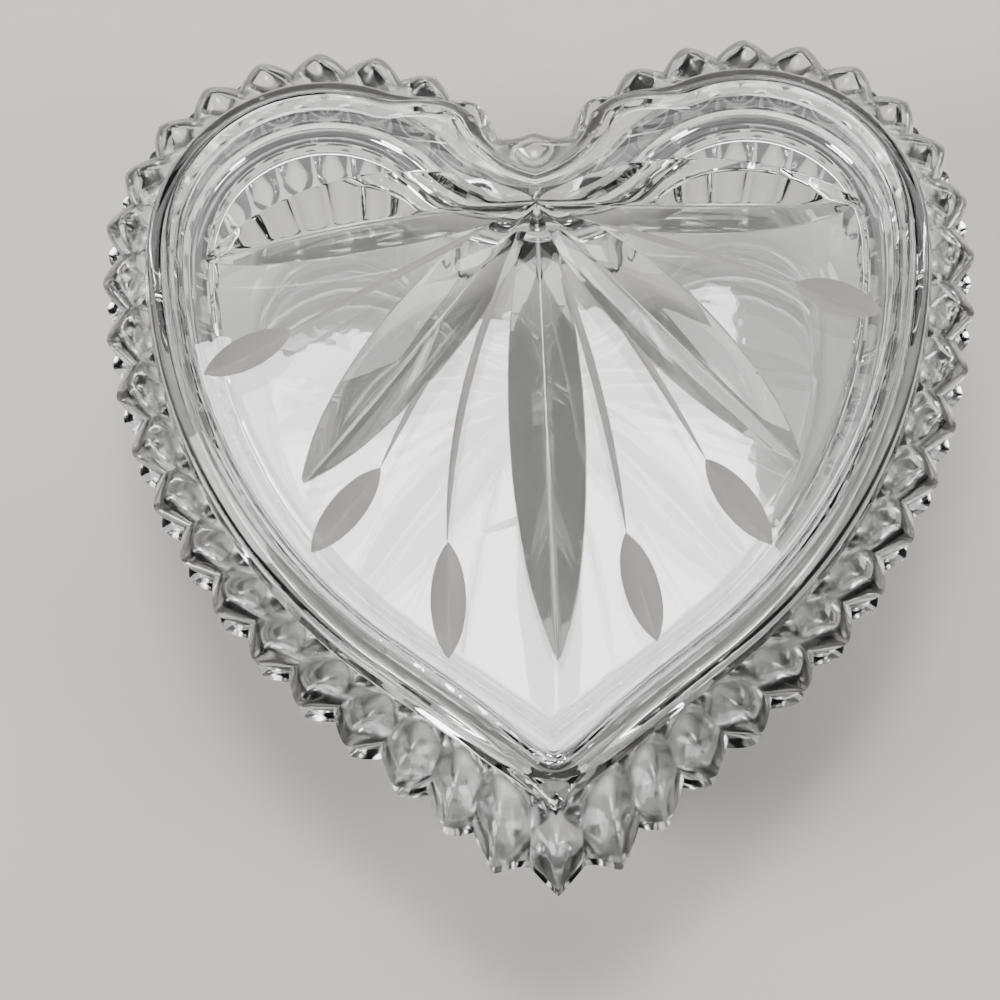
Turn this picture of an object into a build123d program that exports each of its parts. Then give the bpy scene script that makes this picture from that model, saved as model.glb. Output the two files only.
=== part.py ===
from build123d import *
from math import atan2, cos, degrees, radians, sin, tan
import os

# Heart-shaped cut-glass trinket box: a base and a lift-off lid.
# Millimetres. +Z is up, the heart's notch points along +Y and its tip along -Y.
# The origin is on the table, under the middle of the box.
#
# Every outline is a heart at some inset from the line through the tooth points: a notch arc,
# a lobe arc, a side arc and a straight run to the tip, all tangent. The toothed edge and the
# bowl share their lobes, but the bowl's tip is blunter, so the teeth grow longer towards it.

# --- the heart through the tooth points -------------------------------------------------
lobe_x = 30.9
lobe_y = 30.55
lobe_radius = 32.7
notch_radius = 8.2
side_start = 0.6
edge_side_radius = 93.0
edge_side_end = -48.5
bowl_side_radius = 87.0
bowl_side_end = -53.0

# --- heights ----------------------------------------------------------------------------
base_height = 37.0
edge_height = 4.0
foot_height = 6.0
plateau_height = 10.5
field_drop = 0.8

# --- teeth ------------------------------------------------------------------------------
lid_teeth_each_side = 22
base_teeth_each_side = 23
first_tooth = 12.6
tooth_root_inset = 6.6
tooth_fullness = 0.96
tooth_relief = 0.2
tooth_point_width = 1.4
tooth_point_height = 1.3
tooth_point_level = 2.4
tip_tooth_root_inset = 13.0
tip_tooth_point_inset = 5.0

# --- lid --------------------------------------------------------------------------------
edge_inset = 3.6
edge_tip_round = 8.0
foot_inset = 6.5
foot_tip_round = 5.0
shoulder_radius = 2.6
rim_inset = 10.4
field_inset = 12.4
rim_tip_round = 3.0
field_tip_round = 1.5
ring_outer_inset = 12.9
ring_inner_inset = 15.6
ring_tip_round = 3.0
ring_depth = 3.0
lid_recess = 2.6

# --- base -------------------------------------------------------------------------------
foot_outer_inset = 15.5
wall_low_inset = 11.8
wall_low_level = 9.0
wall_high_inset = 7.6
wall_tip_round = 4.0
flange_level = base_height - foot_height
floor_thickness = 6.5
cavity_floor_inset = 18.0
cavity_floor_bevel = 2.0
cavity_mouth_inset = 11.7
cavity_tip_round = 3.0
flute_radius = 4.6
flute_low_level = 13.0

# --- cut decoration in the lid's field, fanned from a point just inside the notch ---------
fan_y = 35.25
wheel_half_angle = 60.0
leaf_cuts = [
    (-84.0, 48.0, 9.0),
    (-40.5, 54.0, 10.5),
    (0.8, 68.5, 10.0),
    (40.5, 54.0, 10.5),
    (84.0, 47.0, 9.0),
]
bud_cuts = [
    (-65.5, 39.5, 54.5),
    (-31.5, 46.0, 61.5),
    (-13.0, 52.5, 68.5),
    (13.0, 52.0, 68.0),
    (31.5, 46.0, 61.5),
    (65.5, 39.5, 54.5),
]
bud_width = 4.8
stem_width = 1.0
stem_start = 9.0

lobe_centre = Vector(lobe_x, lobe_y)


def along(angle):
    """Unit vector at an angle in degrees from +X."""
    return Vector(cos(radians(angle)), sin(radians(angle)))


notch_rise = ((lobe_radius + notch_radius) ** 2 - lobe_x**2) ** 0.5
notch_centre = Vector(0, lobe_y + notch_rise)
lobe_end = degrees(atan2(notch_rise, -lobe_x))


class Heart:
    """A heart through the tooth points, with its own side arc and tip."""

    def __init__(self, side_radius, side_end):
        self.side_radius = side_radius
        self.side_end = side_end
        self.side_centre = lobe_centre - (side_radius - lobe_radius) * along(side_start)

    def side_foot(self, inset):
        """Where the side arc hands over to the straight run."""
        return self.side_centre + (self.side_radius - inset) * along(self.side_end)

    def tip(self, inset):
        """Where the straight runs of both halves meet."""
        start = self.side_foot(inset)
        run = along(self.side_end - 90)
        return start - run * (start.X / run.X)

    def outline(self, inset):
        """Draws the closed heart at this inset, into the line builder around it."""
        Line(self.tip(inset), self.side_foot(inset))
        side_sweep = side_start - self.side_end
        CenterArc(self.side_centre, self.side_radius - inset, self.side_end, side_sweep)
        CenterArc(lobe_centre, lobe_radius - inset, side_start, lobe_end - side_start)
        CenterArc(notch_centre, notch_radius + inset, lobe_end - 180, 90 - lobe_end)
        mirror(about=Plane.YZ)

    def face(self, level, inset, tip_round):
        """The heart at this level as a face, with its tip rounded."""
        with BuildSketch(Plane.XY.offset(level)) as face:
            with BuildLine():
                self.outline(inset)
            make_face()
            fillet(face.vertices().sort_by(Axis.Y)[0], radius=tip_round)
        return face.sketch

    def place_from_tip(self, distance):
        """The tooth line's point and outward angle, this far from its tip on the +X side."""
        run = self.side_foot(0) - self.tip(0)
        if distance < run.length:
            return self.tip(0) + run * (distance / run.length), self.side_end
        distance -= run.length
        side_length = radians(side_start - self.side_end) * self.side_radius
        if distance < side_length:
            angle = self.side_end + degrees(distance / self.side_radius)
            return self.side_centre + self.side_radius * along(angle), angle
        distance -= side_length
        lobe_length = radians(lobe_end - side_start) * lobe_radius
        if distance < lobe_length:
            angle = side_start + degrees(distance / lobe_radius)
            return lobe_centre + lobe_radius * along(angle), angle
        angle = lobe_end - degrees((distance - lobe_length) / notch_radius)
        return notch_centre - notch_radius * along(angle), angle

    def half_length(self):
        """Length of the tooth line from its tip to the notch."""
        return (
            (self.side_foot(0) - self.tip(0)).length
            + radians(side_start - self.side_end) * self.side_radius
            + radians(lobe_end - side_start) * lobe_radius
            + radians(lobe_end - 90) * notch_radius
        )


edge = Heart(edge_side_radius, edge_side_end)
bowl = Heart(bowl_side_radius, bowl_side_end)


def tooth_places(count, end_gap):
    """Tooth points on one side: the last one is end_gap pitches short of the notch."""
    pitch = (edge.half_length() - first_tooth) / (count - 1 + end_gap)
    return [edge.place_from_tip(first_tooth + k * pitch) for k in range(count)], pitch


def outward_plane(point, angle, inset, level):
    """A plane at this inset from a tooth point, facing outwards, with its Y axis up."""
    origin = point - inset * along(angle)
    sideways = along(angle + 90)
    return Plane(
        origin=(origin.X, origin.Y, level),
        x_dir=(sideways.X, sideways.Y, 0),
        z_dir=(cos(radians(angle)), sin(radians(angle)), 0),
    )


def tooth(point, angle, width, bottom, root_inset=tooth_root_inset, point_inset=0):
    """One hob-nail tooth, lofted from inside the flange to its blunt point."""
    with BuildPart() as hob:
        with BuildSketch(outward_plane(point, angle, root_inset, bottom)):
            with Locations((0, foot_height / 2)):
                Rectangle(width, foot_height - 2 * tooth_relief)
        with BuildSketch(outward_plane(point, angle, point_inset, bottom)):
            with Locations((0, tooth_point_level)):
                Rectangle(tooth_point_width, tooth_point_height)
        loft()
    return hob.part


def tooth_row(places, width, bottom):
    """The teeth of both sides and the tip, as solids that each reach into the flange."""
    teeth = [tooth(edge.tip(0), -90, width, bottom, tip_tooth_root_inset, tip_tooth_point_inset)]
    for point, angle in places:
        teeth.append(tooth(point, angle, width, bottom))
        teeth.append(tooth(Vector(-point.X, point.Y), 180 - angle, width, bottom))
    return teeth


def flange(bottom, upright):
    """The band that carries the teeth, thinned towards its edge on its upper or lower side."""
    lower_half = edge_height if upright else foot_height - edge_height
    insets = (edge_inset, foot_inset) if upright else (foot_inset, edge_inset)
    rounds = (edge_tip_round, foot_tip_round) if upright else (foot_tip_round, edge_tip_round)
    band_bottom = bottom if upright else bottom + lower_half
    slope_bottom = bottom + edge_height if upright else bottom
    slope_height = foot_height - edge_height
    curves = (edge, bowl) if upright else (bowl, edge)
    with BuildPart() as band:
        extrude(edge.face(band_bottom, edge_inset, edge_tip_round), amount=edge_height)
        loft(
            [
                curves[0].face(slope_bottom, insets[0], rounds[0]),
                curves[1].face(slope_bottom + slope_height, insets[1], rounds[1]),
            ],
            ruled=True,
        )
    return band.part


def wheel_cut(direction, start, end, width):
    """What a V-edged cutting wheel takes out: a pointed groove, deepest at its middle."""
    depth = width / 2 / tan(radians(wheel_half_angle))
    half = (end - start) / 2
    wheel_radius = (half**2 + depth**2) / (2 * depth)
    heading = along(direction - 90)
    middle = Vector(0, fan_y) + heading * (start + half)
    across = Plane(
        origin=(middle.X, middle.Y, field_level - depth + wheel_radius),
        x_dir=(-heading.Y, heading.X, 0),
        z_dir=(heading.X, heading.Y, 0),
    )
    rim = depth * 2
    with BuildPart() as wheel:
        with BuildSketch(across):
            with BuildLine():
                Polyline(
                    (-rim * tan(radians(wheel_half_angle)), -wheel_radius + rim),
                    (0, -wheel_radius),
                    (rim * tan(radians(wheel_half_angle)), -wheel_radius + rim),
                    close=True,
                )
            make_face()
        axle = Axis(across.origin, across.x_dir)
        revolve(axis=axle)
    return wheel.part


lid_places, lid_pitch = tooth_places(lid_teeth_each_side, 1.0)
base_places, base_pitch = tooth_places(base_teeth_each_side, 0.5)
plateau_level = base_height + plateau_height
field_level = plateau_level - field_drop
recess_level = base_height + lid_recess

# --- lid: toothed flange, raised heart, locating ring and the fan of cuts ---------------------
with BuildPart() as lid:
    add(flange(base_height, True))
    add(tooth_row(lid_places, lid_pitch * tooth_fullness, base_height))
    notch_foot = notch_centre - Vector(0, notch_radius)
    add(tooth(notch_foot, 90, lid_pitch, base_height))
    extrude(bowl.face(base_height, foot_inset, foot_tip_round), amount=plateau_height)
    fillet(lid.faces().sort_by(Axis.Z)[-1].edges(), radius=shoulder_radius)
    loft(
        [
            bowl.face(plateau_level, rim_inset, rim_tip_round),
            bowl.face(field_level, field_inset, field_tip_round),
        ],
        ruled=True,
        mode=Mode.SUBTRACT,
    )
    extrude(bowl.face(base_height, ring_outer_inset, ring_tip_round), amount=-ring_depth)
    extrude(
        bowl.face(base_height - ring_depth, ring_inner_inset, ring_tip_round),
        amount=ring_depth + lid_recess,
        mode=Mode.SUBTRACT,
    )
    for direction, reach, width in leaf_cuts:
        add(wheel_cut(direction, 0, reach, width), mode=Mode.SUBTRACT)
    for direction, stem_end, reach in bud_cuts:
        add(wheel_cut(direction, stem_end, reach, bud_width), mode=Mode.SUBTRACT)
        add(wheel_cut(direction, stem_start, stem_end, stem_width), mode=Mode.SUBTRACT)

# --- base: heart bowl with a toothed rim and fluted wall -----------------------------------
with BuildPart() as base:
    wall_levels = ((0, foot_outer_inset), (wall_low_level, wall_low_inset), (flange_level, wall_high_inset))
    loft([bowl.face(level, inset, wall_tip_round) for level, inset in wall_levels], ruled=True)
    for point, angle in base_places:
        middle = point - (wall_low_inset - flute_radius) * along(angle)
        with Locations((middle.X, middle.Y, flute_low_level), (-middle.X, middle.Y, flute_low_level)):
            Cylinder(
                flute_radius,
                flange_level - flute_low_level,
                align=(Align.CENTER, Align.CENTER, Align.MIN),
                mode=Mode.SUBTRACT,
            )
    add(flange(flange_level, False))
    add(tooth_row(base_places, base_pitch * tooth_fullness, flange_level))
    loft(
        [
            bowl.face(floor_thickness, cavity_floor_inset + cavity_floor_bevel, cavity_tip_round),
            bowl.face(floor_thickness + cavity_floor_bevel, cavity_floor_inset, cavity_tip_round),
            bowl.face(base_height, cavity_mouth_inset, cavity_tip_round),
        ],
        ruled=True,
        mode=Mode.SUBTRACT,
    )

lid.part.label = "lid"
base.part.label = "base"

os.makedirs("parts", exist_ok=True)
export_step(lid.part, "parts/lid.step")
export_step(base.part, "parts/base.step")
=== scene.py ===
from collections import namedtuple
from math import atan2, cos, degrees, exp, hypot, pi, radians, sin, sqrt, tan

import bmesh
import bpy
from mathutils import Matrix, Vector


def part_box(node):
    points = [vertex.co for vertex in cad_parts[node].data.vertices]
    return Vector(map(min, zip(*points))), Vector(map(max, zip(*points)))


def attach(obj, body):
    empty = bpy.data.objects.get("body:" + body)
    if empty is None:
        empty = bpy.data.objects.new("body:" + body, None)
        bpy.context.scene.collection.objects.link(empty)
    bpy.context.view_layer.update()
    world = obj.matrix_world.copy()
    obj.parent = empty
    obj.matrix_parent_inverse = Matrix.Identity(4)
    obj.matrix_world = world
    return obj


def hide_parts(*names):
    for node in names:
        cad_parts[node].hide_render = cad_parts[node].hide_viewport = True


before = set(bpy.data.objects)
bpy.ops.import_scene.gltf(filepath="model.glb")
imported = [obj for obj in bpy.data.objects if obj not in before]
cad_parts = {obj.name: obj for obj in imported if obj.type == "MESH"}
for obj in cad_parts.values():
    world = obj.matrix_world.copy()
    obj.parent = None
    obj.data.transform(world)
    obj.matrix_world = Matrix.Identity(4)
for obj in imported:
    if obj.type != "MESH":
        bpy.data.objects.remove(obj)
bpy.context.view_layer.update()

mm = 0.001

# ---------------------------------------------------------------- the heart
# Millimetres, seen from above, notch towards +Y. Every outline is a heart at some inset from
# the line through the tooth points.
lobe_x, lobe_y, lobe_radius = 30.9, 30.55, 32.7
notch_radius = 8.2
side_start = 0.6
notch_rise = sqrt((lobe_radius + notch_radius) ** 2 - lobe_x ** 2)
notch_y = lobe_y + notch_rise
lobe_end = degrees(atan2(notch_rise, -lobe_x))

# The seat is where the lid meets the base. The three levels are heights above it.
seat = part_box("base")[1][2] / mm
tooth_level = 2.4
tooth_crest = 5.7
tooth_foot = 4.9
foot_inset = 6.5
seat_inset = 7.2
tooth_depth = 2.7
notch_crowding = 3.9
# how far a softened tip bends the sides, as a multiple of its softness
tip_softening_reach = 3


def along(angle):
    return Vector((cos(radians(angle)), sin(radians(angle))))


class Heart:
    """Tooth line of the rim, or of the bowl inside it, whose tip is blunter."""

    def __init__(self, side_radius, side_end):
        self.side_radius, self.side_end = side_radius, side_end
        self.side_centre = Vector((lobe_x, lobe_y)) - (side_radius - lobe_radius) * along(side_start)

    def lengths(self):
        foot = self.side_foot(0)
        return (
            (foot - self.tip(0)).length,
            radians(side_start - self.side_end) * self.side_radius,
            radians(lobe_end - side_start) * lobe_radius,
            radians(lobe_end - 90) * notch_radius,
        )

    def side_foot(self, inset):
        return self.side_centre + (self.side_radius - inset) * along(self.side_end)

    def tip(self, inset):
        foot = self.side_foot(inset)
        return Vector((0, foot.y - foot.x / tan(radians(-self.side_end))))

    def point(self, stretch, part, inset, soften=0.0):
        """A point part of the way along one of the four stretches from tip to notch."""
        if stretch == 0:
            tip, foot = self.tip(inset), self.side_foot(inset)
            spot = tip.lerp(foot, part)
            slope = (foot.y - tip.y) / foot.x
            if soften:
                held = soften * exp(-((spot.x / soften / tip_softening_reach) ** 2))
                spot.y = tip.y + slope * (sqrt(spot.x ** 2 + soften ** 2) - held)
            return spot
        if stretch == 1:
            angle = self.side_end + part * (side_start - self.side_end)
            return self.side_centre + (self.side_radius - inset) * along(angle)
        if stretch == 2:
            angle = side_start + part * (lobe_end - side_start)
            return Vector((lobe_x, lobe_y)) + (lobe_radius - inset) * along(angle)
        angle = lobe_end + part * (90 - lobe_end)
        return Vector((0, notch_y)) - (notch_radius + inset) * along(angle)


edge = Heart(side_radius=93.0, side_end=-48.5)
bowl = Heart(side_radius=87.0, side_end=-53.0)
half_length = sum(edge.lengths())


def stretch_at(distance):
    """Which stretch of the tooth line holds this distance from the tip, and how far along it."""
    for stretch, length in enumerate(edge.lengths()):
        if distance <= length or stretch == 3:
            return stretch, min(distance / length, 1.0)
        distance -= length


# ---------------------------------------------------------------- teeth round a rim
first_tooth = 11.9
tip_valley = 5.5
tip_tooth_inset = 3.3
tip_valley_inset = 3.9
columns_per_flank = 9

# Beside the notch the bowl crowds the teeth, by a share of notch_crowding, and its rim narrows,
# by a share of its width. Both start near the end of the lobe, and the crowding turns round
# before the notch's middle.
crowding_start = 0.8
crowding_ramp = 0.2
crowding_turn = 1.33
narrowing = 0.24
notch_narrowing = 0.2


# One upright line of vertices: its side, its stretch and part of the heart, its place across
# a tooth from -0.5 to 0.5, how much it belongs to the long tooth at the tip, how far the
# bowl crowds the teeth there and how much narrower its rim is, both only round the notch.
Column = namedtuple("Column", "side stretch part phase tip_share crowd narrow")


def round_notch(stretch, part):
    """How far the bowl crowds the teeth, and how much narrower its rim is."""
    if stretch == 3:
        return 1.0 - crowding_turn * part, narrowing + notch_narrowing * part
    if stretch == 2:
        near = max(0.0, (part - crowding_start) / crowding_ramp)
        near = near * near * (3 - 2 * near)
        return near, narrowing * near
    return 0.0, 0.0


def rim_columns(teeth_each_side, tooth_in_notch):
    """Columns round the heart from the tip, up the right side and back down the left."""
    end_gap = 1.0 if tooth_in_notch else 0.5
    pitch = (half_length - first_tooth) / (teeth_each_side - 1 + end_gap)
    knots = [(0.0, 0.0, 1.0), (tip_valley, 0.5, 1.0)]
    for k in range(teeth_each_side):
        centre = first_tooth + k * pitch
        knots += [(centre, 0.0, 0.0), (centre + pitch / 2, 0.5, 0.0)]
    if tooth_in_notch:
        knots.append((half_length, 0.0, 0.0))
    half = []
    for (s0, p0, t0), (s1, p1, t1) in zip(knots, knots[1:]):
        falling = p0 > p1
        for i in range(columns_per_flank):
            f = i / columns_per_flank
            phase = (f - 1) * 0.5 if falling else f * 0.5
            tip_share = 1.0 if s1 <= tip_valley + 1e-6 else 0.0
            if s0 == tip_valley:
                tip_share = 1.0 - f
            half.append((s0 + f * (s1 - s0), phase, tip_share))
    half.append((half_length, 0.0 if tooth_in_notch else 0.5, 0.0))
    right = []
    for s, phase, share in half:
        stretch, part = stretch_at(s)
        crowd, narrow = round_notch(stretch, part) if tooth_in_notch else (0.0, 0.0)
        right.append(Column(1, stretch, part, phase, share, crowd, narrow))
    left = [column._replace(side=-1, phase=-column.phase) for column in right[1:-1]]
    return right + left[::-1]


# the scalloped outline: how round and how pointed a tooth is, and what the notch takes off it
outline_roundness = 0.9
outline_softness = 0.14
outline_pointedness = 0.6
notch_valley_loss = 0.45


def tent(phase, softness):
    """1 on a tooth's ridge, 0 in the valley beside it, rounded at the ridge."""
    x = 2 * abs(phase)
    return 1 - (sqrt(x * x + softness ** 2) - softness) / (sqrt(1 + softness ** 2) - softness)


def tooth_outline_inset(column):
    """Inset of the scalloped edge, at the level of the tooth points."""
    point = tip_tooth_inset * column.tip_share
    valley = blend(tooth_depth, tip_valley_inset, column.tip_share)
    valley *= 1 - notch_valley_loss * max(column.crowd, 0.0)
    rounded = cos(pi * column.phase) ** outline_roundness
    fullness = blend(rounded, tent(column.phase, outline_softness), outline_pointedness)
    return blend(valley, point, fullness)


def blend(a, b, t):
    return a + (b - a) * t


# On a tooth, from its point to its foot: where the crest is reached and where it falls again,
# and where the clear boss lies on it and how steeply it ends on both sides of the ridge.
crest_at = 0.5
fall_from, fall_length, fall_power = 0.55, 0.45, 1.5
valley_power = 0.85
crest_softness = 0.22
boss_from, boss_length, boss_power = 0.06, 0.66, 0.6
boss_width, boss_edge = 1.8, 2.4
# the flat side under it
flat_ridge_power, flat_valley_power = 1.7, 2.6
flat_softness = 0.5
flat_matt = 0.6


# A station tells, for a column, how far it follows the bowl's heart instead of the teeth's,
# its inset, its height above the seat and how matt the glass is there.
def above_teeth(u):
    """The crested side of the teeth: u runs from the points, 0, to the foot, 1."""
    rise = sin(min(u / crest_at, 1.0) * pi / 2)
    fall = max(0.0, (u - fall_from) / fall_length)
    ridge = blend(tooth_level, tooth_crest, rise) - (tooth_crest - tooth_foot) * fall ** fall_power
    valley = blend(tooth_level, tooth_foot, u ** valley_power)
    boss = sin(pi * min(max((u - boss_from) / boss_length, 0.0), 1.0)) ** boss_power

    def station(column):
        inset = blend(tooth_outline_inset(column), foot_inset - notch_crowding * column.crowd, u)
        height = blend(valley, ridge, tent(column.phase, crest_softness))
        clear = boss * min(1.0, max(0.0, boss_width - boss_edge * abs(column.phase) * 2))
        return u, inset, height, 1 - clear

    return station


def below_teeth(u):
    """The flat side of the teeth: u runs from the seat, 0, to the points, 1."""
    ridge = tooth_level * u ** flat_ridge_power
    valley = tooth_level * u ** flat_valley_power

    def station(column):
        inset = blend(seat_inset - notch_crowding * column.crowd, tooth_outline_inset(column), u)
        return 1 - u, inset, blend(valley, ridge, tent(column.phase, flat_softness)), flat_matt

    return station


def plain(inset, height, soften=0.0, crowded=0.0):
    """A clear station of the bowl, the same all round apart from a softer tip and a crowded
    notch where they are asked for."""

    def station(column):
        moved = notch_crowding * column.crowd + (inset - foot_inset) * column.narrow
        return 1.0, inset - crowded * moved, height, 0.0

    station.soften = soften
    return station


# ---------------------------------------------------------------- modelling helpers
def only(obj):
    if bpy.context.object and bpy.context.object.mode != "OBJECT":
        bpy.ops.object.mode_set(mode="OBJECT")
    bpy.ops.object.select_all(action="DESELECT")
    obj.select_set(True)
    bpy.context.view_layer.objects.active = obj


def drawn_up(name, columns, stations):
    """A closed body: a ring is drawn on the first station, extruded through the others,
    and both ends are closed with flat faces."""
    bpy.ops.object.select_all(action="DESELECT")
    bpy.ops.mesh.primitive_circle_add(vertices=len(columns), radius=lobe_radius * mm)
    body = bpy.context.object
    body.name = body.data.name = name
    bpy.ops.object.mode_set(mode="EDIT")
    mesh = bmesh.from_edit_mesh(body.data)
    layer = mesh.verts.layers.int.new("column")
    mesh.verts.layers.float.new("matt")
    mesh.verts.ensure_lookup_table()
    for index, vert in enumerate(mesh.verts):
        vert[layer] = index
    bpy.ops.mesh.select_all(action="SELECT")
    for number, station in enumerate(stations):
        if number == 1:
            bpy.ops.mesh.edge_face_add()
            bpy.ops.mesh.select_all(action="SELECT")
            bpy.ops.mesh.extrude_edges_move()
        elif number:
            bpy.ops.mesh.extrude_edges_move()
        mesh = bmesh.from_edit_mesh(body.data)
        layer = mesh.verts.layers.int["column"]
        matt = mesh.verts.layers.float["matt"]
        for vert in mesh.verts:
            if vert.select:
                vert.co, vert[matt] = place_on(station, columns[vert[layer]])
    bpy.ops.mesh.edge_face_add()
    bpy.ops.mesh.select_all(action="SELECT")
    bpy.ops.mesh.normals_make_consistent(inside=False)
    bpy.ops.object.mode_set(mode="OBJECT")
    return body


def place_on(station, column):
    share, inset, height, matt = station(column)
    soften = getattr(station, "soften", 0.0)
    on_edge = edge.point(column.stretch, column.part, inset)
    on_bowl = bowl.point(column.stretch, column.part, inset, soften)
    spot = on_edge.lerp(on_bowl, share)
    return Vector((column.side * spot.x, spot.y, seat + height)) * mm, matt


def apply_modifier(obj, kind, **settings):
    only(obj)
    modifier = obj.modifiers.new(kind.title(), kind)
    for key, value in settings.items():
        setattr(modifier, key, value)
    bpy.ops.object.modifier_apply(modifier=modifier.name)


# ---------------------------------------------------------------- lid
# a hair's breadth of air between the two pieces
seam = 0.03
lid_columns = rim_columns(teeth_each_side=22, tooth_in_notch=True)
# from the middle of the underside outwards: the recess, the ring and the seat, as inset and height
ring_profile = (
    (17.2, 2.6),
    (16.8, 2.6),
    (16.2, 2.5),
    (15.8, 2.2),
    (15.6, 1.7),
    (15.6, 0.8),
    (15.6, -0.4),
    (15.6, -1.6),
    (15.6, -2.4),
    (15.45, -2.75),
    (15.1, -2.95),
    (14.6, -3.0),
    (13.9, -3.0),
    (13.4, -2.95),
    (13.05, -2.75),
    (12.9, -2.4),
    (12.9, -1.6),
    (12.9, -0.8),
    (12.9, -0.3),
    (12.7, seam - 0.05),
    (12.3, seam),
    (10.5, seam),
    (8.8, seam),
)
# the raised rim and the step down into the field: inset, height and softness at the tip
crown_profile = (
    (6.5, 4.9, 0.5),
    (6.62, 5.3, 0.6),
    (6.75, 6.1, 0.8),
    (6.95, 7.0, 1.0),
    (7.25, 7.8, 1.3),
    (7.65, 8.4, 1.6),
    (8.2, 8.85, 2.0),
    (8.9, 9.3, 2.3),
    (9.5, 9.75, 2.5),
    (9.9, 10.15, 2.5),
    (10.2, 10.4, 2.5),
    (10.5, 10.5, 2.5),
    (10.8, 10.45, 2.5),
    (11.1, 10.25, 2.5),
    (11.5, 9.95, 2.5),
    (11.9, 9.78, 2.5),
    (12.3, 9.7, 2.5),
    (12.8, 9.7, 2.5),
)
field = 9.7
flat_steps = 8
lid_crest_steps = 13
lid_stations = [plain(inset, height) for inset, height in ring_profile]
lid_stations += [below_teeth(i / flat_steps) for i in range(flat_steps)]
lid_stations += [above_teeth(i / lid_crest_steps) for i in range(lid_crest_steps)]
lid_stations += [plain(inset, height, soften, 1.0) for inset, height, soften in crown_profile]
lid = drawn_up("lid_crystal", lid_columns, lid_stations)

# ---------------------------------------------------------------- base
base_columns = rim_columns(teeth_each_side=23, tooth_in_notch=False)
base_teeth_matt = 0.5


def hanging(station):
    """A lid station turned upside down under the seat."""

    def turned(column):
        share, inset, height, matt = station(column)
        return share, inset, -height, base_teeth_matt

    return turned


# the outside of the wall, with heights from the seat downwards, and the flutes in it
wall_top = -6.0
wall_inset_top = 7.4
wall_draw_in = 8.4
wall_power = 2.4
flute_low = -22.0
flute_end = 4.2
flute_half_width = 0.46
narrowest_flute = 0.02


def fluted(inset, height, flute_depth):
    """The wall, scooped into upright flutes with rounded lower ends."""
    drop = (flute_low + flute_end - height) / flute_end
    half_width = flute_half_width * sqrt(max(0.0, 1 - max(0.0, drop) ** 2))

    def station(column):
        across = (0.5 - abs(column.phase)) / half_width if half_width > narrowest_flute else 2.0
        scoop = max(0.0, 1 - across ** 2)
        return 1.0, inset + flute_depth * scoop, height, 0.0

    return station


def wall_inset(height):
    """Outside of the wall: nearly upright at the top, drawn in towards the foot."""
    drop = (wall_top - height) / (seat + wall_top)
    return wall_inset_top + wall_draw_in * drop ** wall_power


floor = 6.5 - seat
floor_profile = (
    (21.5, floor),
    (21.0, floor),
    (20.2, floor + 0.15),
    (19.5, floor + 0.6),
    (18.9, floor + 1.4),
    (18.4, floor + 2.6),
)
mouth_profile = ((11.75, -0.4), (11.5, -0.1), (11.1, 0.0), (9.5, 0.0), (8.2, 0.0))
foot_profile = ((16.2, -seat + 0.9), (16.9, -seat + 0.3), (17.8, -seat), (18.6, -seat))
low_wall_heights = (-26.0, -28.0, -30.0, -32.0, -33.6, -34.8)
cavity_steps = 14
cavity_power = 0.8
cavity_low, cavity_high = floor + 4.0, -0.9
cavity_low_inset, cavity_high_inset = 18.1, 11.9
base_crest_steps = 12
flute_steps = 26
flute_start, flute_stop = -6.2, -24.0
flute_depth = 0.9
# the flutes begin shallow and are at full depth three stations on
first_deepening, deepening_steps = 0.25, 4

base_stations = [plain(inset, height) for inset, height in floor_profile]
for i in range(cavity_steps + 1):
    inset = blend(cavity_low_inset, cavity_high_inset, (i / cavity_steps) ** cavity_power)
    base_stations.append(plain(inset, blend(cavity_low, cavity_high, i / cavity_steps)))
base_stations += [plain(inset, height) for inset, height in mouth_profile]
base_stations += [hanging(below_teeth(i / flat_steps)) for i in range(flat_steps)]
base_stations += [hanging(above_teeth(i / base_crest_steps)) for i in range(base_crest_steps)]
base_stations += [plain(foot_inset, -tooth_foot), plain(foot_inset + 0.25, -5.3), plain(7.2, -5.7)]
for i in range(flute_steps + 1):
    height = blend(flute_start, flute_stop, i / flute_steps)
    deepening = min(1.0, first_deepening + i / deepening_steps)
    base_stations.append(fluted(wall_inset(height), height, deepening * flute_depth))
base_stations += [plain(wall_inset(height), height) for height in low_wall_heights]
base_stations += [plain(inset, height) for inset, height in foot_profile]
base = drawn_up("base_crystal", base_columns, base_stations)

# ---------------------------------------------------------------- the cut fan
fan = Vector((0.0, 35.25))
flank_angle = 60.0
sweep_share = 0.62
least_bow = -0.6
# across the wheel's rim: how far out, against how high, both as shares of the cut's own size
rim_profile = (
    (0.0, 0.0),
    (0.05, 0.015),
    (0.1, 0.05),
    (0.36, 0.27),
    (0.6, 0.5),
    (0.81, 0.75),
    (1.0, 1.0),
    (1.36, 1.5),
    (1.7, 2.0),
)


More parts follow.
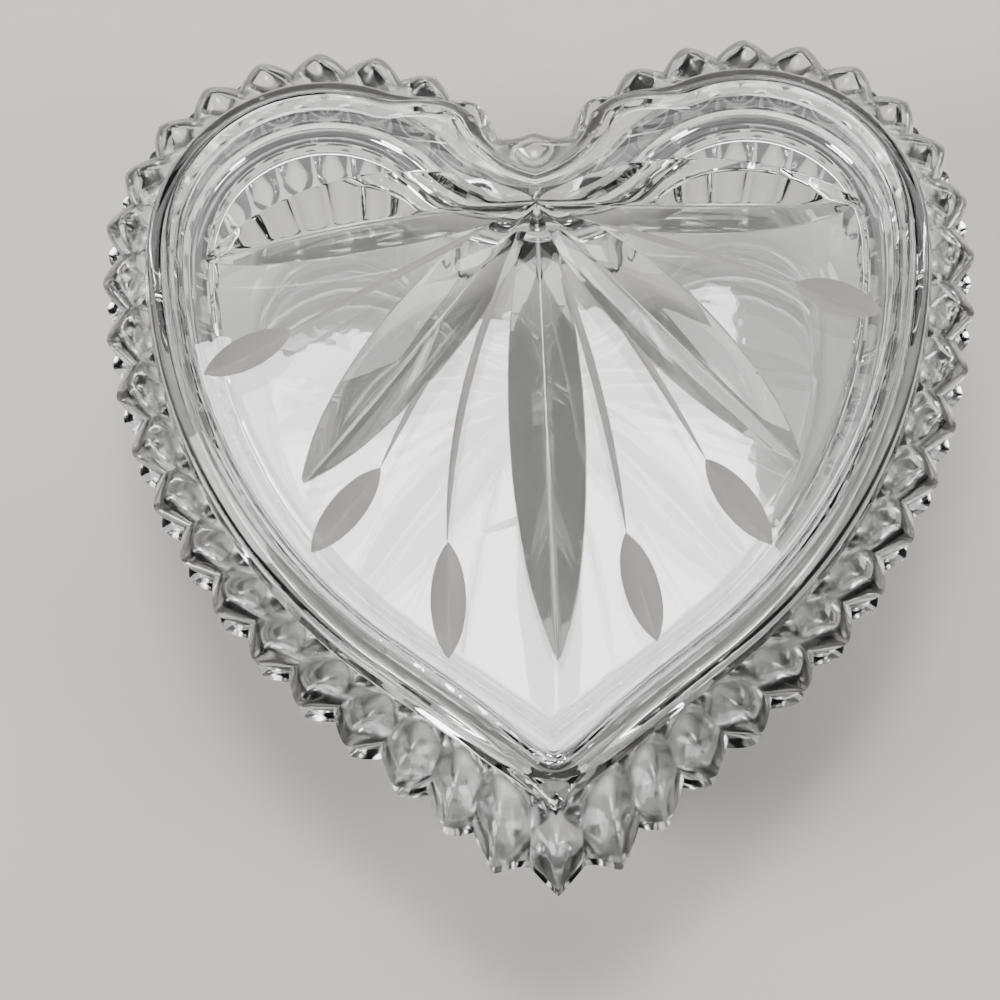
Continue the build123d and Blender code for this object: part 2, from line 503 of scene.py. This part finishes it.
def wheel(name, start, heading, length, width, steps, bow=0.0):
    """The part of a cutting wheel's rim that sinks into the field, led along a slight bow."""
    depth = width / 2 / tan(radians(flank_angle))
    wheel_radius = ((length / 2) ** 2 + depth ** 2) / (2 * depth)
    middle = start + along(heading) * (length / 2)
    axle_height = seat + field - depth + wheel_radius
    across = along(heading + 90)
    reach = length * sweep_share / wheel_radius
    profile = [(s * x * width / 2, h * depth) for s in (1, -1) for x, h in rim_profile]
    profile = profile[:len(rim_profile)][::-1] + profile[len(rim_profile) + 1:]
    bpy.ops.object.select_all(action="DESELECT")
    bpy.ops.mesh.primitive_circle_add(vertices=len(profile), radius=width * mm, fill_type="NGON")
    tool = bpy.context.object
    tool.name = name
    bpy.ops.object.mode_set(mode="EDIT")
    mesh = bmesh.from_edit_mesh(tool.data)
    mesh.verts.ensure_lookup_table()
    for vert, (x, h) in zip(mesh.verts, profile):
        flat = middle + across * x
        vert.co = Vector((flat.x, flat.y, axle_height - wheel_radius + h)) * mm
    centre = Vector((middle.x, middle.y, axle_height)) * mm
    axle = Vector((across.x, across.y, 0))
    for vert in mesh.verts:
        vert.co = centre + Matrix.Rotation(reach, 3, axle) @ (vert.co - centre)
    bmesh.update_edit_mesh(tool.data)
    bpy.ops.mesh.select_all(action="SELECT")
    bpy.ops.mesh.spin(steps=steps, angle=2 * reach, center=centre, axis=axle)
    bpy.ops.mesh.select_all(action="SELECT")
    bpy.ops.mesh.remove_doubles(threshold=1e-7)
    bpy.ops.mesh.normals_make_consistent(inside=False)
    lead = along(heading)
    for vert in bmesh.from_edit_mesh(tool.data).verts:
        done = (vert.co.xy / mm - middle).dot(lead) / (length / 2)
        vert.co.xy += across * (bow * mm * max(1 - done ** 2, least_bow))
    bmesh.update_edit_mesh(tool.data)
    bpy.ops.object.mode_set(mode="OBJECT")
    return tool


# lean, length, width and bow
leaf_cuts = (
    (-81.0, 48.5, 11.8, -2.8),
    (-39.3, 53.8, 11.0, -0.6),
    (0.8, 68.5, 10.6, 0.0),
    (41.5, 54.2, 11.0, 0.6),
    (87.8, 46.6, 11.8, 0.9),
)
leaf_steps = 64
tools = []
for number, (lean, length, width, bow) in enumerate(leaf_cuts):
    tools.append(wheel(f"leaf_wheel_{number}", fan, lean - 90, length, width, leaf_steps, bow))

# the buds: where the stem ends (lean, reach), the bud's own lean and length, the stem's bow
bud_cuts = (
    (-62.2, 40.1, -63.3, 14.0, 0.0),
    (-30.2, 46.0, -39.0, 15.6, -0.8),
    (-15.2, 52.8, -1.0, 16.8, -3.0),
    (12.3, 51.6, 13.3, 16.2, 1.5),
    (29.5, 45.9, 34.0, 15.5, 0.6),
    (69.2, 39.2, 67.9, 13.0, 0.0),
)
bud_width = 5.0
stem_width = 1.2
stem_start = 3
stem_shortening = 2.5
bud_steps = 32
for number, (stem_lean, stem_reach, lean, length, bow) in enumerate(bud_cuts):
    foot = fan + along(stem_lean - 90) * stem_reach
    tools.append(wheel(f"bud_wheel_{number}", foot, lean - 90, length, bud_width, bud_steps))
    start = fan + along(stem_lean - 90) * stem_start
    stem_length = stem_reach - stem_shortening
    tools.append(
        wheel(f"stem_wheel_{number}", start, stem_lean - 90, stem_length, stem_width, bud_steps, bow)
    )


# ---------------------------------------------------------------- materials
class Value:
    """A socket that can be added to and multiplied."""

    def __init__(self, finish, socket):
        self.finish, self.socket = finish, socket

    def _math(self, operation, other):
        return self.finish.node("ShaderNodeMath", {"operation": operation}, {0: self, 1: other})

    def __add__(self, other):
        return self._math("ADD", other)

    __radd__ = __add__

    def __mul__(self, other):
        return self._math("MULTIPLY", other)


class Finish:
    """A material and its nodes."""

    def __init__(self, name):
        self.material = bpy.data.materials.new(name)
        self.material.use_nodes = True
        self.tree = self.material.node_tree
        self.tree.nodes.clear()
        self.output = self.tree.nodes.new("ShaderNodeOutputMaterial")
        self.where = self.node("ShaderNodeTexCoord", out="Object")

    def node(self, kind, settings=None, inputs=None, out=0):
        made = self.tree.nodes.new(kind)
        for key, value in (settings or {}).items():
            setattr(made, key, value)
        for key, value in (inputs or {}).items():
            if isinstance(value, Value):
                self.tree.links.new(value.socket, made.inputs[key])
            else:
                made.inputs[key].default_value = value
        return Value(self, made.outputs[out])

    def noise(self, scale, detail=2.0, stretch=(1, 1, 1)):
        spot = self.node("ShaderNodeMapping", None, {"Vector": self.where, "Scale": stretch})
        return self.node("ShaderNodeTexNoise", None, {"Vector": spot, "Scale": scale, "Detail": detail})

    def tint(self, share, low, high):
        return self.node(
            "ShaderNodeMix", {"data_type": "RGBA"}, {0: share, 6: (*low, 1), 7: (*high, 1)}, out=2
        )

    def shade(self, **inputs):
        named = {key.replace("_", " "): value for key, value in inputs.items()}
        shader = self.node("ShaderNodeBsdfPrincipled", None, named)
        self.tree.links.new(shader.socket, self.output.inputs["Surface"])
        return self.material


def crystal(name, clarity):
    """Fire-polished clear glass: faint grey body, barely uneven surface."""
    glass = Finish(name)
    swirl = glass.noise(42, 1.0)
    ripple = glass.noise(160, 2.0)
    matt = glass.node("ShaderNodeAttribute", {"attribute_name": "matt"}, out="Fac")
    relief = glass.node(
        "ShaderNodeBump", None, {"Strength": 0.2, "Distance": 0.0004, "Height": swirl + ripple * 0.2}
    )
    return glass.shade(
        Base_Color=glass.tint(swirl, (0.955, 0.965, 0.962), clarity),
        Roughness=matt * (0.13 + ripple * 0.1),
        IOR=1.54,
        Transmission_Weight=1.0,
        Normal=relief,
    )


def matt_cut(name):
    """Glass left grey by the grinding wheel, with its fine scratches."""
    ground = Finish(name)
    grain = ground.noise(2600, 3.0, (1, 0.25, 1))
    cloud = ground.noise(120, 2.0)
    relief = ground.node("ShaderNodeBump", None, {"Strength": 0.35, "Distance": 0.0001, "Height": grain})
    return ground.shade(
        Base_Color=ground.tint(cloud, (0.40, 0.375, 0.36), (0.50, 0.475, 0.46)),
        Roughness=0.42 + grain * 0.2,
        IOR=1.5,
        Transmission_Weight=0.5,
        Normal=relief,
    )


lid_glass = crystal("lid_crystal_glass", (0.985, 0.985, 0.98))
base_glass = crystal("base_crystal_glass", (0.98, 0.982, 0.978))
ground_glass = matt_cut("wheel_ground_glass")
lid.data.materials.append(lid_glass)
lid.data.materials.append(ground_glass)
base.data.materials.append(base_glass)
for tool in tools:
    tool.data.materials.append(lid_glass if tool.name.startswith("leaf") else ground_glass)

cutters = bpy.data.collections.new("cutters")
bpy.context.scene.collection.children.link(cutters)
for tool in tools:
    for home in list(tool.users_collection):
        home.objects.unlink(tool)
    cutters.objects.link(tool)
for tool in tools:
    apply_modifier(
        lid,
        "BOOLEAN",
        operation="DIFFERENCE",
        solver="MANIFOLD",
        object=tool,
        material_mode="TRANSFER",
    )
for tool in tools:
    bpy.data.objects.remove(tool)
bpy.data.collections.remove(cutters)

# what counts as a crest of the cuts, in millimetres and degrees
deepest_cut = 4.0
above_field = 0.01
shortest_crest = 0.3
crest_angle = 14
crest_width = 0.14
# the field: the inset of its edge, where the lobes take over, and the room round the fan's middle
field_inset = 12.5
lobe_from = 32
fan_room = 3

# the teeth lie within this height of the seat, above and below
teeth_reach = 6.0
smooth_angle = 22
# closed ends and the flat field between the cuts: faces with many corners or a large area
many_corners = 40
large_area = 1e-4


def soften_cuts(width):
    """Fire polish on the crests between the cuts and round their edges."""
    only(lid)
    bpy.ops.object.mode_set(mode="EDIT")
    bpy.ops.mesh.select_mode(type="EDGE")
    bpy.ops.mesh.select_all(action="DESELECT")
    mesh = bmesh.from_edit_mesh(lid.data)
    low = (seat + field - deepest_cut) * mm
    high = (seat + field + above_field) * mm
    for item in mesh.edges:
        ends = [vert.co for vert in item.verts]
        heights = [end.z for end in ends]
        if len(item.link_faces) != 2 or min(heights) < low or max(heights) > high:
            continue
        if any(face.material_index for face in item.link_faces):
            continue
        inside = all(in_field(end) for end in ends) and item.calc_length() > shortest_crest * mm
        item.select = inside and item.calc_face_angle_signed() > radians(crest_angle)
    bpy.ops.mesh.bevel(offset=width * mm, segments=2, clamp_overlap=False)
    bpy.ops.object.mode_set(mode="OBJECT")


def in_field(spot):
    """Whether a point is inside the raised rim, or close to the middle of the fan."""
    x, y = abs(spot.x) / mm, spot.y / mm
    if y > lobe_from:
        in_lobe = hypot(x - lobe_x, y - lobe_y) < lobe_radius - field_inset
        return in_lobe or hypot(x, y - fan.y) < fan_room
    return hypot(x - bowl.side_centre.x, y - bowl.side_centre.y) < bowl.side_radius - field_inset


def polish_bowl(piece):
    """Only the teeth stay satin; what was cut or lies above them is clear."""
    matt = piece.data.attributes["matt"]
    for vert, value in zip(piece.data.vertices, matt.data):
        if vert.co.z > (seat + teeth_reach) * mm or vert.co.z < (seat - teeth_reach) * mm:
            value.value = 0.0
    piece.data.attributes.remove(piece.data.attributes["column"])


soften_cuts(crest_width)
polish_bowl(lid)
polish_bowl(base)
for piece in (lid, base):
    only(piece)
    bpy.ops.object.shade_smooth_by_angle(angle=radians(smooth_angle))
    for face in piece.data.polygons:
        if len(face.vertices) > many_corners or face.area > large_area:
            face.use_smooth = False

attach(lid, "lid")
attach(base, "base")
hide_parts("lid")
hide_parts("base")

# ---------------------------------------------------------------- floor, light and camera
# just under the foot: a floor in the foot's own plane would show black through the glass
floor_drop = 0.0001
bpy.ops.object.select_all(action="DESELECT")
bpy.ops.mesh.primitive_plane_add(size=3.0, location=(0, 0, -floor_drop))
bpy.ops.object.transform_apply(location=True)
floor_plane = bpy.context.object
floor_plane.name = "floor"
pale = Finish("pale_floor")
pale_tone = pale.tint(pale.noise(6, 3.0), (0.70, 0.68, 0.65), (0.74, 0.72, 0.69))
floor_plane.data.materials.append(pale.shade(Base_Color=pale_tone, Roughness=0.7))


# name, azimuth, elevation, distance, width and height, watts
softboxes = (
    ("window", 175.5, 75, 1.35, (0.32, 0.3), 6.5),
    ("skylight", 182, 74, 1.5, (0.8, 0.8), 6),
    ("side_fill", 80, 32, 1.2, (0.4, 0.9), 12),
    ("left_fill", -70, 38, 1.3, (0.3, 0.7), 5),
    ("back_fill", 200, 22, 1.2, (1.0, 0.3), 9),
)
light_aim = Vector((0, 0, 0.04))


def towards(azimuth, elevation):
    """From the box to something that stands at this azimuth and elevation."""
    around, up = radians(azimuth), radians(elevation)
    return Vector((-sin(around) * cos(up), -cos(around) * cos(up), sin(up)))


for name, azimuth, elevation, distance, size, watts in softboxes:
    light = bpy.data.lights.new(name, "AREA")
    light.shape = "RECTANGLE"
    light.size, light.size_y = size
    light.energy = watts
    lamp = bpy.data.objects.new(name, light)
    bpy.context.scene.collection.objects.link(lamp)
    way = towards(azimuth, elevation)
    lamp.location = light_aim + way * distance
    lamp.rotation_euler = (-way).to_track_quat("-Z", "Y").to_euler()

world = bpy.data.worlds.new("studio")
bpy.context.scene.world = world
world.use_nodes = True
world.node_tree.nodes["Background"].inputs["Color"].default_value = (0.80, 0.81, 0.83, 1)
world.node_tree.nodes["Background"].inputs["Strength"].default_value = 0.1

camera_azimuth = -1.7
camera_elevation = 72.5
camera_roll = -3.4
camera_distance = 0.45
camera_aim = Vector((-6.5, -7.5, seat + tooth_level)) * mm
lens = bpy.data.cameras.new("camera")
lens.lens = 113.7
lens.sensor_width = 36
camera = bpy.data.objects.new("camera", lens)
bpy.context.scene.collection.objects.link(camera)
away = towards(camera_azimuth, camera_elevation)
right = (-away).cross(Vector((0, 0, 1))).normalized()
upward = right.cross(-away)
roll = radians(camera_roll)
turned_right = right * cos(roll) + upward * sin(roll)
turned_up = upward * cos(roll) - right * sin(roll)
camera.matrix_world = Matrix.Translation(camera_aim + away * camera_distance) @ Matrix(
    (turned_right, turned_up, away)
).transposed().to_4x4()
bpy.context.scene.camera = camera
